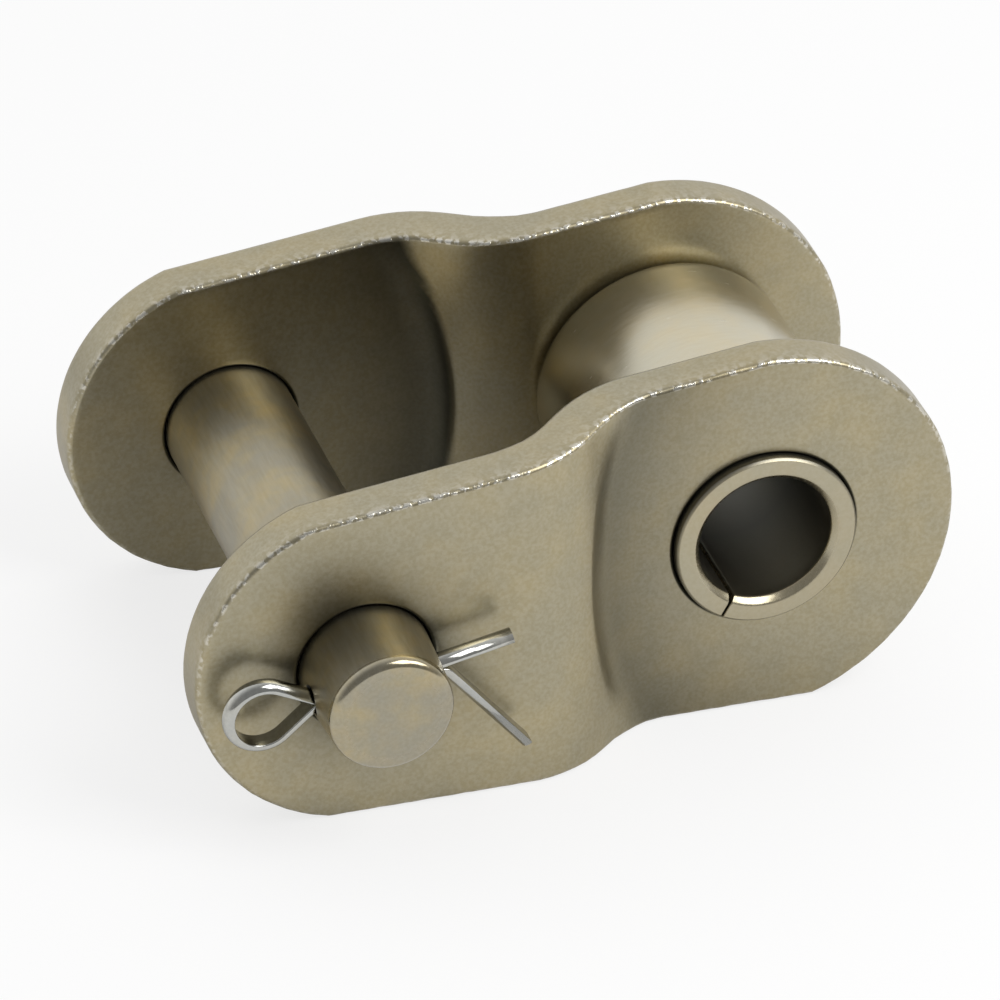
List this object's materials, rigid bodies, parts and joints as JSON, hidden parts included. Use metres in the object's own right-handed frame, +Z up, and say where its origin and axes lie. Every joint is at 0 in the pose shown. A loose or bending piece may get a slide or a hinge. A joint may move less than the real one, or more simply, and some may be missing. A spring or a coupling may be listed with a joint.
{
  "type": "roller chain offset link",
  "caption": "Cranked offset link for roller chain: side plates joined by a curled bushing with a free roller, and a headed pin held by a split cotter.",
  "frame": {"origin": "centre of the bushing bore, on the middle plane between the plates", "axes": "+X along the pitch line, from the pin towards the bushing; +Y along the bushing and pin axes, away from the cotter; +Z up, across the plates"},
  "size_m": [0.0471, 0.0365, 0.0237],
  "materials": {
    "plate_steel": "matt, warm grey",
    "bushing_steel": "satin",
    "roller_steel": "satin",
    "pin_steel": "satin",
    "cotter_wire": "bright drawn"
  },
  "bodies": {
    "link": {"front_offset_plate": "plate_steel", "rear_offset_plate": "plate_steel", "bushing": "bushing_steel", "connecting_pin": "pin_steel", "cotter_pin": "cotter_wire"},
    "roller": {"roller": "roller_steel"}
  },
  "joints": [
    {"name": "roller_spin", "type": "hinge", "parent": "link", "child": "roller", "pos_m": [0, 0, 0], "axis": [0, 1, 0], "continuous": true}
  ]
}
